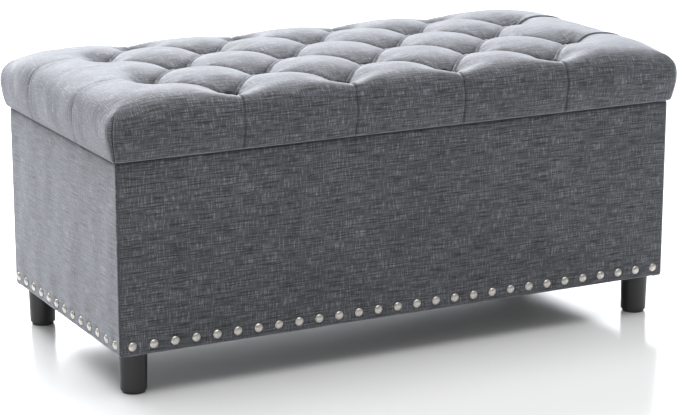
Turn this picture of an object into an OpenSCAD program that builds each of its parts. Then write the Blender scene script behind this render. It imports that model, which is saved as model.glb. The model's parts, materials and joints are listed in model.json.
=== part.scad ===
// Tufted storage bench: an upholstered plywood box on four screw-in legs, with a
// button-tufted foam lid that swings up on two butt hinges and two folding stays.
// Millimetres. +X along the length, -Y to the front, +Z up, origin on the floor at the centre.

/* [Box] */
// Length of the covered box
body_l = 875; // [600:5:1300]
// Depth of the covered box, front to back
body_d = 410; // [340:5:560]
// Height of the covered box, from the legs to the rim
body_h = 267; // [220:1:360]
// Thickness of the plywood walls
panel_t = 12; // [9:0.5:18]
// Thickness of the foam layer between a wall and its cover
wadding_t = 3; // [2:0.5:6]
// Thickness of the bottom board
bottom_t = 9; // [6:0.5:15]
// Width of the square corner posts
post_w = 25; // [18:1:32]
// Height of the rails and leg blocks under the bottom board
rail_h = 25; // [20:1:35]
// Thickness of the base rails
rail_t = 20; // [15:1:28]

/* [Fabric] */
// Thickness of the linen cover
fabric_t = 1.2; // [0.8:0.1:2]
// Thickness of the lining inside the box
lining_t = 1; // [0.6:0.1:1.6]
// Thickness of the dust covers under the box and the lid
dust_t = 0.8; // [0.5:0.1:1.2]
// Depth of the cover turned down inside the rim
turn_down = 40; // [25:1:60]

/* [Legs] */
// Height of a leg with its glide
leg_h = 58; // [45:1:120]
// Diameter of a leg at the top
leg_top_d = 41; // [34:0.5:50]
// Diameter of a leg at the foot
leg_foot_d = 37; // [28:0.5:46]
// Distance of a leg's axis from the faces of the box
leg_inset = 30; // [26:1:40]
// Diameter of the leg bolt
bolt_d = 8; // [6:1:10]
// Thickness of a leg's felt glide
glide_t = 3; // [2:0.5:5]

/* [Nailheads] */
// Diameter of a nail's domed head
nail_d = 11; // [8:0.5:14]
// Height of the dome
nail_dome = 2.6; // [1.5:0.1:4]
// Wished distance between nails
nail_pitch = 31.1; // [20:0.1:60]
// Distance of a row's end nails past the inside of the walls
nail_edge = 1.5; // [1:0.1:15]
// Height of the nails above the bottom edge of the box
nail_up = 14.6; // [8:0.1:40]

/* [Lid] */
// Height of the lid, from its underside to its crown
lid_h = 88; // [70:1:130]
// Overhang of the lid's bottom edge past the box
lid_lip = 6; // [4:0.5:12]
// Swell of the lid's sides past its bottom edge
lid_bulge = 7; // [3:0.5:12]
// Thickness of the lid board
lid_board_t = 12; // [9:0.5:18]
// Corner radius of the lid's bottom edge, seen from above
lid_corner_r = 17; // [10:1:30]
// Width of the cover stapled to the lid's underside
lid_hem = 55; // [45:1:80]

/* [Tufting] */
// Buttons in a long row
tuft_columns = 5; // [3:1:7]
// Rows of buttons, long and short in turn, starting with a short one
tuft_rows = 5; // [3:2:7]
// Distance from the lid's end to the first button of a long row
tuft_edge_x = 111; // [80:1:160]
// Distance from the lid's front to the first row
tuft_edge_y = 50; // [44:1:70]
// Depth of the button seats below the crown
tuft_depth = 38; // [25:1:55]
// Diameter of a covered button
button_d = 22; // [16:1:28]
// Height of a covered button
button_h = 7; // [4:0.5:10]
// Radius of a dimple at the crown
dimple_r = 32; // [24:1:40]

/* [Hinges] */
// Length of a hinge leaf
leaf_l = 76; // [50:1:100]
// Width of a hinge leaf, from the pin
leaf_w = 34; // [25:1:45]
// Thickness of a hinge leaf
leaf_t = 1.5; // [1:0.1:2.5]
// Diameter of the hinge knuckles
knuckle_d = 7; // [5:0.1:9]
// Diameter of the hinge pin
pin_d = 3; // [2:0.1:4]
// Distance of a hinge's middle from the end of the box
hinge_inset = 150; // [100:5:180]

/* [Stays] */
// Distance of the stay's wall pivot in front of the hinge pin
stay_in = 85; // [70:1:110]
// Height of the stay's wall pivot above the floor of the box
stay_up = 44; // [36:1:70]
// Distance of the stay's lid pivot in front of the hinge pin
stay_reach = 140; // [110:1:170]
// Distance of the stay's lid pivot below the hinge pin
stay_drop = 10; // [9:0.5:14]
// Thickness of the stay's arms
arm_t = 2.5; // [2:0.1:3.5]
// Width of the stay's arms
arm_w = 16; // [12:0.5:20]
// Diameter of the stay's rivets
rivet_d = 6; // [4:0.5:7]

/* [Hidden] */
$fn = 48;

// Clearances
slack = 0.05;        // radial play of a pin or bolt in its bore
leaf_air = 0.5;      // air around a closed hinge leaf and its knuckles
knuckle_gap = 0.3;   // air between neighbouring knuckles
washer_gap = 0.5;    // air between the layers of a stay

// Faces of the box, measured from its centre
hl = body_l / 2;
hd = body_d / 2;
panel_x = hl - fabric_t - wadding_t;
panel_y = hd - fabric_t - wadding_t;
in_x = panel_x - panel_t;
in_y = panel_y - panel_t;

// Heights
hem_z = leg_h + dust_t;
panel_z = hem_z + fabric_t;
rim_z = leg_h + body_h;
panel_top = rim_z - fabric_t;
board_z = hem_z + rail_h;
floor_z = board_z + bottom_t;
turn_z = rim_z - turn_down;
post_top = turn_z - 2 * lining_t;
lid_z = rim_z + leaf_t + leaf_air;
lid_top = lid_z + lid_h;
lid_board_z = lid_z + fabric_t;
foam_z = lid_board_z + lid_board_t;

// Leg blocks and bolts
block_w = 2 * leg_inset;
leg_x = hl - leg_inset;
leg_y = hd - leg_inset;
bolt_r = bolt_d / 2;
bolt_in_leg = 25;
nut_barrel_r = bolt_r + 1;
nut_flange_r = bolt_r + 5.5;
nut_flange_t = 1.5;
foot_round = 2;

// Hinge axis
knuckle_r = knuckle_d / 2;
axis_y = hd + knuckle_r + leaf_air;
axis_z = lid_z - knuckle_r - leaf_air;
hinge_x = hl - hinge_inset;
knuckles = 5;
knuckle_l = leaf_l / knuckles;
screw_r = 2;
screw_head_r = 3.9;
screw_hole_r = 2.2;
screw_sink_r = 4;
screw_short = 2;     // how far a screw ends before the far side of its board
leaf_screw_at = [[-26, 12], [0, 22], [26, 12]];

// Stay: a parallelogram of the hinge pin, the wall pivot, the elbow and the lid pivot
rivet_r = rivet_d / 2;
rivet_head_r = rivet_r + 2;
rivet_head_t = 1.5;
bracket_t = 2;
wall_face = in_x - lining_t;
wall_pivot = [axis_y - stay_in, floor_z + lining_t + stay_up];
lid_pivot = [axis_y - stay_reach, axis_z - stay_drop];
elbow = wall_pivot + lid_pivot - [axis_y, axis_z];
lower_x = wall_face - bracket_t - washer_gap - arm_t;
upper_x = lower_x - washer_gap - arm_t;
tab_x = upper_x - washer_gap - bracket_t;
bracket_w = 24;
bracket_h = 72;
bracket_screw_up = 24;
flange_l = 60;
flange_w = 20;
flange_screw_out = 21;
flange_screw_x = tab_x + (flange_w + bracket_t) / 2;

// Lid outline and tufting
lip_x = hl + lid_lip;
lip_y = hd + lid_lip;
lid_lining_x = tab_x - 4;
lid_lining_y = axis_y - leaf_w - 2;
board_edge = fabric_t + 3.5;
tuft_pitch_x = 2 * (lip_x + lid_bulge - tuft_edge_x) / (tuft_columns - 1);
tuft_pitch_y = 2 * (lip_y + lid_bulge - tuft_edge_y) / (tuft_rows - 1);
seat_z = lid_top - tuft_depth;
seat_r = button_d / 2 + 1.5;
cord_r = 1.2;
cord_hole_r = 3.5;
anchor_r = 7;
anchor_t = 1;
tufts = [
    for (row = [0 : tuft_rows - 1])
        let (count = row % 2 == 0 ? tuft_columns - 1 : tuft_columns)
        for (i = [0 : count - 1])
            [(i - (count - 1) / 2) * tuft_pitch_x, (row - (tuft_rows - 1) / 2) * tuft_pitch_y]
];

// ---- shared shapes -------------------------------------------------------------------------

module block(low, high) {
    translate(low) cube(high - low);
}

module mirrored_x() {
    children();
    mirror([1, 0, 0]) children();
}

module four_corners() {
    mirrored_x() {
        children();
        mirror([0, 1, 0]) children();
    }
}

// Rectangle with round corners, reaching x and y from the centre
module round_rect(x, y, r) {
    square([2 * x, 2 * (y - r)], center = true);
    square([2 * (x - r), 2 * y], center = true);
    for (i = [-1, 1], j = [-1, 1])
        translate([i * (x - r), j * (y - r)]) circle(r);
}

// Floor plan of the box inside, leaving out the corner posts
module plan_inside(inset) {
    x = in_x - inset;
    y = in_y - inset;
    square([2 * x, 2 * (y - post_w)], center = true);
    square([2 * (x - post_w), 2 * y], center = true);
}

// Countersunk screw with its head's flat face on z = 0, pointing along -Z
module screw(length, head_t) {
    translate([0, 0, -length]) cylinder(r = screw_r, h = length - head_t);
    translate([0, 0, -head_t]) cylinder(r1 = screw_r, r2 = screw_head_r, h = head_t);
}

// Countersunk hole through a plate of this thickness, lying on z = 0
module screw_hole(plate_t) {
    translate([0, 0, -1]) cylinder(r = screw_hole_r, h = plate_t + 2);
    cylinder(r1 = screw_hole_r, r2 = screw_sink_r, h = plate_t);
    translate([0, 0, plate_t]) cylinder(r = screw_sink_r, h = 1);
}

// Flat bar in the plane of X, from one pivot to another, each given as [y, z]
module bar(from, to, x, thick, width) {
    span = to - from;
    reach = norm(span);
    translate([x, from[0], from[1]]) rotate([atan2(span[1], span[0]), 0, 0])
        difference() {
            union() {
                translate([0, 0, -width / 2]) cube([thick, reach, width]);
                for (y = [0, reach])
                    translate([0, y, 0]) rotate([0, 90, 0]) cylinder(d = width, h = thick);
            }
            for (y = [0, reach])
                translate([-1, y, 0]) rotate([0, 90, 0]) cylinder(r = rivet_r + slack, h = thick + 2);
        }
}

// Rivet along X with a head at each end of the stack it holds; a stud has one head only
module rivet(at, low, high, stud = false) {
    translate([low, at[0], at[1]]) rotate([0, 90, 0]) {
        cylinder(r = rivet_r, h = high - low);
        translate([0, 0, -rivet_head_t]) cylinder(r1 = rivet_head_r - 1, r2 = rivet_head_r, h = rivet_head_t);
        if (!stud)
            translate([0, 0, high - low])
                cylinder(r1 = rivet_head_r, r2 = rivet_head_r - 1, h = rivet_head_t);
    }
}

// ---- box frame -----------------------------------------------------------------------------

module front_panel() {
    color("burlywood") block([-panel_x, -panel_y, panel_z], [panel_x, -in_y, panel_top]);
}

module back_panel() {
    color("burlywood") block([-panel_x, in_y, panel_z], [panel_x, panel_y, panel_top]);
}

module right_end_panel() {
    color("burlywood") block([in_x, -in_y, panel_z], [panel_x, in_y, panel_top]);
}

module left_end_panel() {
    mirror([1, 0, 0]) right_end_panel();
}

module bottom_board() {
    color("tan") block([-in_x, -in_y, board_z], [in_x, in_y, floor_z]);
}

module long_base_rails() {
    color("wheat") for (m = [0, 1]) mirror([0, m, 0])
        block([-in_x + block_w, -in_y, hem_z], [in_x - block_w, -in_y + rail_t, board_z]);
}

module end_base_rails() {
    color("wheat") mirrored_x()
        block([in_x - rail_t, -in_y + block_w, hem_z], [in_x, in_y - block_w, board_z]);
}

module cross_rail() {
    color("wheat") block([-rail_t, -in_y + rail_t, hem_z], [rail_t, in_y - rail_t, board_z]);
}

// One block in each corner takes a leg's T-nut, pressed in from above
module leg_blocks() {
    color("wheat") four_corners() difference() {
        block([in_x - block_w, in_y - block_w, hem_z], [in_x, in_y, board_z]);
        translate([leg_x, leg_y, hem_z - 1]) cylinder(r = nut_barrel_r + slack, h = rail_h + 2);
        translate([leg_x, leg_y, board_z - nut_flange_t])
            cylinder(r = nut_flange_r + slack, h = nut_flange_t + 1);
    }
}

module corner_posts() {
    color("wheat") four_corners()
        block([in_x - post_w, in_y - post_w, floor_z], [in_x, in_y, post_top]);
}

// Screws through the walls into the corner posts; those of the ends sit lower, so that none meet
module panel_screws() {
    length = panel_t + 0.7 * post_w;
    head_t = 3;
    rise = (post_top - floor_z) / 3;
    color("silver") four_corners() for (i = [0 : 2]) {
        translate([in_x - post_w / 2, panel_y, floor_z + rise * (i + 0.7)])
            rotate([-90, 0, 0]) screw(length, head_t);
        translate([panel_x, in_y - post_w / 2, floor_z + rise * (i + 0.3)])
            rotate([0, 90, 0]) screw(length, head_t);
    }
}

// ---- box covers ----------------------------------------------------------------------------

module body_wadding() {
    color("white") for (m = [0, 1]) {
        mirror([0, m, 0])
            block([-hl + fabric_t, -hd + fabric_t, panel_z], [hl - fabric_t, -panel_y, panel_top]);
        mirror([m, 0, 0]) block([panel_x, -panel_y, panel_z], [hl - fabric_t, panel_y, panel_top]);
    }
}

// Wraps the front wall: under its foot, up the outside, over the rim and down inside
module front_cover() {
    color("slategray") {
        block([-hl, -hd, hem_z], [hl, -hd + fabric_t, rim_z]);
        block([-hl, -hd, hem_z], [hl, -in_y, panel_z]);
        block([-hl, -hd, panel_top], [hl, -in_y + fabric_t, rim_z]);
        block([-in_x, -in_y, turn_z], [in_x, -in_y + fabric_t, rim_z]);
    }
}

module back_cover() {
    mirror([0, 1, 0]) front_cover();
}

module right_end_cover() {
    y = in_y - fabric_t;
    color("slategray") {
        block([hl - fabric_t, -hd + fabric_t, panel_z], [hl, hd - fabric_t, panel_top]);
        block([in_x, -in_y, hem_z], [hl, in_y, panel_z]);
        block([in_x - fabric_t, -y, panel_top], [hl, y, rim_z]);
        block([in_x - fabric_t, -y, turn_z], [in_x, y, rim_z]);
    }
}

module left_end_cover() {
    mirror([1, 0, 0]) right_end_cover();
}

// Lining of the walls, folded round the corner posts and over their tops
module wall_lining() {
    color("dimgray") {
        translate([0, 0, floor_z + lining_t]) linear_extrude(turn_z - floor_z - lining_t) difference() {
            plan_inside(0);
            plan_inside(lining_t);
        }
        four_corners() block([in_x - post_w, in_y - post_w, post_top], [in_x, in_y, post_top + lining_t]);
        four_corners() difference() {
            block([in_x - post_w, in_y - post_w, post_top], [in_x, in_y, turn_z]);
            block([in_x - post_w - 1, in_y - post_w - 1, post_top - 1],
                  [in_x - lining_t, in_y - lining_t, turn_z + 1]);
        }
    }
}

module floor_lining() {
    color("dimgray") translate([0, 0, floor_z]) linear_extrude(lining_t) plan_inside(0);
}

module bottom_dust_cover() {
    inset = 12;
    color("#222222") difference() {
        block([-hl + inset, -hd + inset, leg_h], [hl - inset, hd - inset, hem_z]);
        four_corners() translate([leg_x, leg_y, leg_h - 1]) cylinder(r = bolt_r + 0.5, h = dust_t + 2);
    }
}

// Staples through the edge of the dust cover
module dust_cover_staples() {
    crown = [10, 1.2, 0.7];
    leg = 8;
    step = 70;
    inset = 20;
    clear = leg_inset + leg_top_d / 2 + 12;
    module staple() {
        translate([-crown[0] / 2, -crown[1] / 2, -crown[2]]) cube(crown);
        for (i = [-1, 1])
            translate([i * (crown[0] - crown[1]) / 2 - crown[1] / 2, -crown[2] / 2, -crown[2]])
                cube([crown[1], crown[2], leg]);
    }
    module row(half, side) {
        n = floor(2 * (half - clear) / step);
        for (i = [0 : n])
            translate([(i - n / 2) * step, -side + inset, leg_h]) staple();
    }
    color("silver") for (m = [0, 1]) {
        mirror([0, m, 0]) row(hl, hd);
        mirror([m, 0, 0]) rotate([0, 0, 90]) row(hd, hl);
    }
}

// ---- nailheads -----------------------------------------------------------------------------

// A domed head on z = 0, with its shank in the wall behind
module nail() {
    r = nail_d / 2;
    shank_r = 0.9;
    shank = hl - in_x - 3;
    dome_r = (r * r + nail_dome * nail_dome) / (2 * nail_dome);
    intersection() {
        translate([0, 0, nail_dome - dome_r]) sphere(dome_r);
        cylinder(r = r + 1, h = nail_dome + 1);
    }
    translate([0, 0, -shank]) cylinder(r = shank_r, h = shank + nail_dome / 2);
}

// Evenly spaced nails along a side of this length, centred on x = 0 and standing out along -Y
module nail_row(length, side) {
    span = length - 2 * (hl - in_x + nail_edge);
    n = round(span / nail_pitch);
    pitch = span / n;
    color("silver") for (i = [0 : n])
        translate([(i - n / 2) * pitch, -side, leg_h + nail_up]) rotate([90, 0, 0]) nail();
}

module front_nailheads() {
    nail_row(body_l, hd);
}

module back_nailheads() {
    rotate([0, 0, 180]) nail_row(body_l, hd);
}

module left_nailheads() {
    rotate([0, 0, -90]) nail_row(body_d, hl);
}

module right_nailheads() {
    rotate([0, 0, 90]) nail_row(body_d, hl);
}

// ---- legs ----------------------------------------------------------------------------------

module leg(i, j) {
    top_r = leg_top_d / 2;
    foot_r = leg_foot_d / 2;
    height = leg_h - glide_t;
    color("#1c1c1e") translate([i * leg_x, j * leg_y, glide_t]) difference() {
        rotate_extrude() polygon(concat(
            [[0, 0]],
            [for (a = [0 : 15 : 90]) [foot_r - foot_round * (1 - sin(a)), foot_round * (1 - cos(a))]],
            [[top_r - 0.8, height - 0.8], [top_r - 0.8, height], [0, height]]
        ));
        translate([0, 0, height - bolt_in_leg - 1]) cylinder(r = bolt_r + slack, h = bolt_in_leg + 2);
    }
}

module front_left_leg() {
    leg(-1, -1);
}

module front_right_leg() {
    leg(1, -1);
}

module back_left_leg() {
    leg(-1, 1);
}

module back_right_leg() {
    leg(1, 1);
}

module leg_bolts() {
    color("silver") four_corners() translate([leg_x, leg_y, leg_h - bolt_in_leg])
        cylinder(r = bolt_r, h = bolt_in_leg + dust_t + rail_h - 2);
}

module t_nuts() {
    color("gray") four_corners() translate([leg_x, leg_y, 0]) difference() {
        union() {
            translate([0, 0, board_z - nut_flange_t]) cylinder(r = nut_flange_r, h = nut_flange_t);
            translate([0, 0, board_z - 14]) cylinder(r = nut_barrel_r, h = 14);
        }
        translate([0, 0, board_z - 15]) cylinder(r = bolt_r + slack, h = 16);
    }
}

module leg_glides() {
    color("#333333") four_corners() translate([leg_x, leg_y, 0])
        cylinder(r = leg_foot_d / 2 - foot_round - 0.5, h = glide_t);
}

// Pads on the rim that the closed lid rests on
module rim_bumpers() {
    pad_r = 4;
    places = [[hinge_x / 2, (hd + in_y) / 2], [(hl + in_x) / 2, 0.35 * body_d]];
    color("#222222") four_corners() for (at = places)
        translate([at[0], at[1], rim_z]) cylinder(r = pad_r, h = lid_z - rim_z);
}

// ---- hinges --------------------------------------------------------------------------------

// Knuckles of a leaf along X: the body leaf has the first, third and fifth, the lid leaf the rest
module knuckle_row(first, r, grow) {
    for (i = [first : 2 : knuckles - 1])
        translate([-leaf_l / 2 + i * knuckle_l + knuckle_gap / 2 - grow, 0, 0])
            rotate([0, 90, 0]) cylinder(r = r, h = knuckle_l - knuckle_gap + 2 * grow);
}

// A leaf hanging down from the pin, its back against the plane y = -knuckle_r - leaf_air
module leaf(first) {
    back = knuckle_r + leaf_air;
    difference() {
        union() {
            translate([-leaf_l / 2, -back, -leaf_w]) cube([leaf_l, leaf_t, leaf_w]);
            knuckle_row(first, knuckle_r, 0);
        }
        knuckle_row(1 - first, knuckle_r + leaf_air, knuckle_gap);
        translate([-leaf_l / 2 - 1, 0, 0]) rotate([0, 90, 0]) cylinder(r = pin_d / 2 + slack, h = leaf_l + 2);
        for (at = leaf_screw_at)
            translate([at[0], -back, -at[1]]) rotate([-90, 0, 0]) screw_hole(leaf_t);
    }
}

// The three screws of a leaf, in the leaf's own place
module leaf_screws(length) {
    for (at = leaf_screw_at)
        translate([at[0], leaf_t - knuckle_r - leaf_air, -at[1]]) rotate([-90, 0, 0]) screw(length, leaf_t);
}

module body_leaf_place(i) {
    translate([i * hinge_x, axis_y, axis_z]) children();
}

// The lid leaf is the same plate, lying under the lid
module lid_leaf_place(i) {
    translate([i * hinge_x, axis_y, axis_z]) rotate([-90, 0, 0]) children();
}

module left_hinge_body_leaf() {
    color("silver") body_leaf_place(-1) leaf(0);
}

module right_hinge_body_leaf() {
    color("silver") body_leaf_place(1) leaf(0);
}

module left_hinge_lid_leaf() {
    color("silver") lid_leaf_place(-1) leaf(1);
}

module right_hinge_lid_leaf() {
    color("silver") lid_leaf_place(1) leaf(1);
}

module hinge_pins() {
    color("gray") for (i = [-1, 1]) body_leaf_place(i) {
        translate([-leaf_l / 2, 0, 0]) rotate([0, 90, 0]) cylinder(d = pin_d, h = leaf_l);
        for (s = [-1, 1])
            translate([s * (leaf_l / 2 + 0.5), 0, 0]) rotate([0, 90, 0])
                cylinder(r = knuckle_r - 0.6, h = 1, center = true);
    }
}

module hinge_body_screws() {
    length = leaf_t + hd - in_y - screw_short;
    color("silver") for (i = [-1, 1]) body_leaf_place(i) leaf_screws(length);
}

module hinge_lid_screws() {
    length = leaf_t + foam_z - lid_z - screw_short;
    color("silver") for (i = [-1, 1]) lid_leaf_place(i) leaf_screws(length);
}

// ---- lid stays, modelled on the right and mirrored to the left -----------------------------

module right_stay_wall_bracket() {
    x = wall_face - bracket_t;
    color("silver") difference() {
        translate([x, wall_pivot[0] - bracket_w / 2, wall_pivot[1] - bracket_h / 2])
            cube([bracket_t, bracket_w, bracket_h]);
        for (s = [-1, 1])
            translate([wall_face, wall_pivot[0], wall_pivot[1] + s * bracket_screw_up])
                rotate([0, -90, 0]) screw_hole(bracket_t);
    }
}

module left_stay_wall_bracket() {
    mirror([1, 0, 0]) right_stay_wall_bracket();
}

module wall_pivot_rivets() {
    color("gray") mirrored_x() rivet(wall_pivot, lower_x, wall_face - bracket_t, stud = true);
}

module wall_bracket_screws() {
    length = bracket_t + panel_x - wall_face - screw_short;
    color("silver") mirrored_x() for (s = [-1, 1])
        translate([wall_face - bracket_t, wall_pivot[0], wall_pivot[1] + s * bracket_screw_up])
            rotate([0, -90, 0]) screw(length, bracket_t);
}

module right_stay_lower_arm() {
    color("silver") bar(wall_pivot, elbow, lower_x, arm_t, arm_w);
}

module left_stay_lower_arm() {
    mirror([1, 0, 0]) right_stay_lower_arm();
}

module right_stay_upper_arm() {
    color("silver") bar(elbow, lid_pivot, upper_x, arm_t, arm_w);
}

module left_stay_upper_arm() {
    mirror([1, 0, 0]) right_stay_upper_arm();
}

module right_elbow_rivet() {
    color("gray") rivet(elbow, upper_x, lower_x + arm_t);
}

module left_elbow_rivet() {
    mirror([1, 0, 0]) right_elbow_rivet();
}

// A tab for the pivot, hanging from a flange that is screwed under the lid
module right_stay_lid_bracket() {
    color("silver") difference() {
        union() {
            translate([tab_x, lid_pivot[0] - flange_l / 2, lid_z - leaf_t])
                cube([flange_w, flange_l, leaf_t]);
            translate([tab_x, lid_pivot[0] - arm_w / 2, lid_pivot[1]])
                cube([bracket_t, arm_w, lid_z - lid_pivot[1]]);
            translate([tab_x, lid_pivot[0], lid_pivot[1]]) rotate([0, 90, 0])
                cylinder(d = arm_w, h = bracket_t);
        }
        translate([tab_x - 1, lid_pivot[0], lid_pivot[1]]) rotate([0, 90, 0])
            cylinder(r = rivet_r + slack, h = bracket_t + 2);
        for (s = [-1, 1])
            translate([flange_screw_x, lid_pivot[0] + s * flange_screw_out, lid_z])
                rotate([180, 0, 0]) screw_hole(leaf_t);
    }
}

module left_stay_lid_bracket() {
    mirror([1, 0, 0]) right_stay_lid_bracket();
}

module lid_pivot_rivets() {
    color("gray") mirrored_x() rivet(lid_pivot, tab_x, upper_x + arm_t);
}

module lid_bracket_screws() {
    length = leaf_t + foam_z - lid_z - screw_short;
    color("silver") mirrored_x() for (s = [-1, 1])
        translate([flange_screw_x, lid_pivot[0] + s * flange_screw_out, lid_z - leaf_t])
            rotate([180, 0, 0]) screw(length, leaf_t);
}

// ---- lid -----------------------------------------------------------------------------------

// Outer shape of the lid, shrunk by inset all round: swelling sides and a rounded crown
module lid_form(inset) {
    r = lid_corner_r - inset;
    low = lid_z + inset;
    high = lid_top - inset;
    side_top = lid_z + 0.62 * lid_h;
    crown_in = 62;
    hull() {
        for (i = [-1, 1], j = [-1, 1])
            translate([i * (lip_x - lid_corner_r), j * (lip_y - lid_corner_r), 0]) rotate_extrude($fn = 32)
                polygon([
                    [0, low], [r - 3, low], [r - 0.8, low + 1], [r, low + 4],
                    [r + 0.7 * lid_bulge, lid_z + 0.17 * lid_h],
                    [r + lid_bulge, lid_z + 0.36 * lid_h],
                    [r + 0.86 * lid_bulge, lid_z + 0.53 * lid_h],
                    [r + 0.2 * lid_bulge, side_top],
                    [r - 5, lid_z + 0.75 * lid_h - inset],
                    [r - 12, lid_z + 0.83 * lid_h - inset],
                    [0, lid_z + 0.86 * lid_h - inset]
                ]);
        translate([0, 0, high - 1]) linear_extrude(1)
            square([2 * (lip_x - crown_in), 2 * (lip_y - crown_in)], center = true);
    }
}

// The button seats, cut out of the crown; grow is the fabric that lines them
module dimples(grow) {
    for (at = tufts) translate([at[0], at[1], seat_z - grow])
        cylinder(r1 = seat_r + grow, r2 = dimple_r + grow, h = tuft_depth + grow);
}

module cord_holes(low, high, r) {
    for (at = tufts) translate([at[0], at[1], low]) cylinder(r = r, h = high - low);
}

module board_outline() {
    round_rect(lip_x - board_edge, lip_y - board_edge, lid_corner_r - board_edge);
}

// The board has a hole for each tufting cord, and a recess under it for the cord's anchor
module lid_board() {
    color("burlywood") difference() {
        translate([0, 0, lid_board_z]) linear_extrude(lid_board_t) board_outline();
        cord_holes(lid_board_z - 1, foam_z + 1, cord_hole_r);
        cord_holes(lid_board_z - 1, lid_board_z + anchor_t, anchor_r + slack);
    }
}

// The foam lies on the board and wraps its edges
module lid_foam() {
    color("ivory") difference() {
        lid_form(fabric_t);
        linear_extrude(foam_z) board_outline();
        dimples(fabric_t);
        cord_holes(foam_z - 1, seat_z, cord_hole_r);
    }
}

module lid_cover() {
    color("slategray") difference() {
        lid_form(0);
        dimples(0);
        difference() {
            lid_form(fabric_t);
            dimples(fabric_t);
        }
        cord_holes(seat_z - 2 * fabric_t, seat_z + 1, cord_r + 0.3);
        block([-lip_x + lid_hem, -lip_y + lid_hem, lid_z - 1], [lip_x - lid_hem, lip_y - lid_hem, foam_z]);
    }
}

module tuft_buttons() {
    r = button_d / 2;
    dome = [for (a = [0 : 15 : 90]) [r * cos(a), 1 + (button_h - 1) * sin(a)]];
    color("slategray") for (at = tufts) translate([at[0], at[1], seat_z])
        rotate_extrude() polygon(concat([[0, 0], [r - 1.5, 0]], dome));
}

module tuft_cords() {
    color("whitesmoke") cord_holes(lid_board_z, seat_z, cord_r);
}

module cord_anchors() {
    color("gray") for (at = tufts) translate([at[0], at[1], lid_board_z]) difference() {
        cylinder(r = anchor_r, h = anchor_t);
        translate([0, 0, -1]) cylinder(r = cord_r + slack, h = anchor_t + 2);
    }
}

module lid_lining() {
    color("#222222")
        block([-lid_lining_x, -lid_lining_y, lid_z - dust_t], [lid_lining_x, lid_lining_y, lid_z]);
}

// ---- nodes ---------------------------------------------------------------------------------

front_panel();
back_panel();
left_end_panel();
right_end_panel();
bottom_board();
long_base_rails();
end_base_rails();
cross_rail();
leg_blocks();
corner_posts();
body_wadding();
front_cover();
back_cover();
left_end_cover();
right_end_cover();
wall_lining();
floor_lining();
bottom_dust_cover();
front_nailheads();
back_nailheads();
left_nailheads();
right_nailheads();
front_left_leg();
front_right_leg();
back_left_leg();
back_right_leg();
leg_bolts();
t_nuts();
leg_glides();
rim_bumpers();
panel_screws();
dust_cover_staples();
left_hinge_body_leaf();
right_hinge_body_leaf();
hinge_pins();
hinge_body_screws();
left_stay_wall_bracket();
right_stay_wall_bracket();
wall_pivot_rivets();
wall_bracket_screws();
lid_board();
lid_foam();
lid_cover();
tuft_buttons();
tuft_cords();
cord_anchors();
lid_lining();
left_hinge_lid_leaf();
right_hinge_lid_leaf();
hinge_lid_screws();
left_stay_lid_bracket();
right_stay_lid_bracket();
lid_pivot_rivets();
lid_bracket_screws();
left_stay_lower_arm();
left_stay_upper_arm();
left_elbow_rivet();
right_stay_lower_arm();
right_stay_upper_arm();
right_elbow_rivet();
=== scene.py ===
"""Looks of the tufted storage bench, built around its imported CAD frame. Metres, +X right, -Y front, +Z up."""

import json
import math

import bmesh
import bpy
import numpy as np
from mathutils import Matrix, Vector, kdtree
from mathutils.geometry import delaunay_2d_cdt


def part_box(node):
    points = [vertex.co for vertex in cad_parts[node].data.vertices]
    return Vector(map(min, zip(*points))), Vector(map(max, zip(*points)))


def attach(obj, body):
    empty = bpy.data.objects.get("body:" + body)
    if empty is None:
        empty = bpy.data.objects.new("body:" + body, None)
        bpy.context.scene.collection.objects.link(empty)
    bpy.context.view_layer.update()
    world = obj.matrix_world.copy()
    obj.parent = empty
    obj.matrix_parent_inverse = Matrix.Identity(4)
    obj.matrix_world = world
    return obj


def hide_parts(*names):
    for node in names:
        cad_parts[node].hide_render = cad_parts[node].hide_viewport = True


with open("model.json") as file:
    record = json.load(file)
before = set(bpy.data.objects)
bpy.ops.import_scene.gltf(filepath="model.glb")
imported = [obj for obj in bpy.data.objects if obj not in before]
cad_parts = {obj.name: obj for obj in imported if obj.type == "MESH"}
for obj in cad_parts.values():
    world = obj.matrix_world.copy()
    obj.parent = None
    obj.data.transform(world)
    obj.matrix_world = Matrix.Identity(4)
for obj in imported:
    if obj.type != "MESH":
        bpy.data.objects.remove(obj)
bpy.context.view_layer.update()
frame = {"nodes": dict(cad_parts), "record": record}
nodes = frame["nodes"]

# ---- sizes read from the frame -----------------------------------------------------------------

body_low, body_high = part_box("front_cover")
lid_low, lid_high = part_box("lid_cover")
buttons_low, buttons_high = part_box("tuft_buttons")

BODY_X = body_high.x
BODY_Y = -body_low.y
HEM_Z = body_low.z
RIM_Z = body_high.z
IN_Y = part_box("bottom_board")[1].y
TURN_Z = RIM_Z - 0.040       # how far down the covers turn inside the rim
FABRIC = 0.0012

LID_X = lid_high.x
LID_Y = lid_high.y
LID_Z = lid_low.z

TUFT_COLUMNS = 5
TUFT_ROWS = 5
BUTTON_R = 0.011
TUFT_PITCH_X = (buttons_high.x - BUTTON_R) * 2 / (TUFT_COLUMNS - 1)
TUFT_PITCH_Y = (buttons_high.y - BUTTON_R) * 2 / (TUFT_ROWS - 1)
SEAT_Z = buttons_low.z

FULL_TURN = 2 * math.pi
RIGHT_ANGLE = math.pi / 2


# ---- small helpers -----------------------------------------------------------------------------

def smooth(t):
    """Smooth step of t, from 0 at 0 to 1 at 1."""
    t = np.clip(t, 0, 1)
    return t * t * (3 - 2 * t)


def bell(x, width):
    """Bell curve round 0."""
    return np.exp(-(x / width) ** 2)


WAVE_OCTAVES = 4
WAVES_EACH = 5
WAVE_STEP = 1.6              # how much finer each octave is
WAVE_SHARE = 2.2             # keeps the sum about -1 to 1


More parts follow.
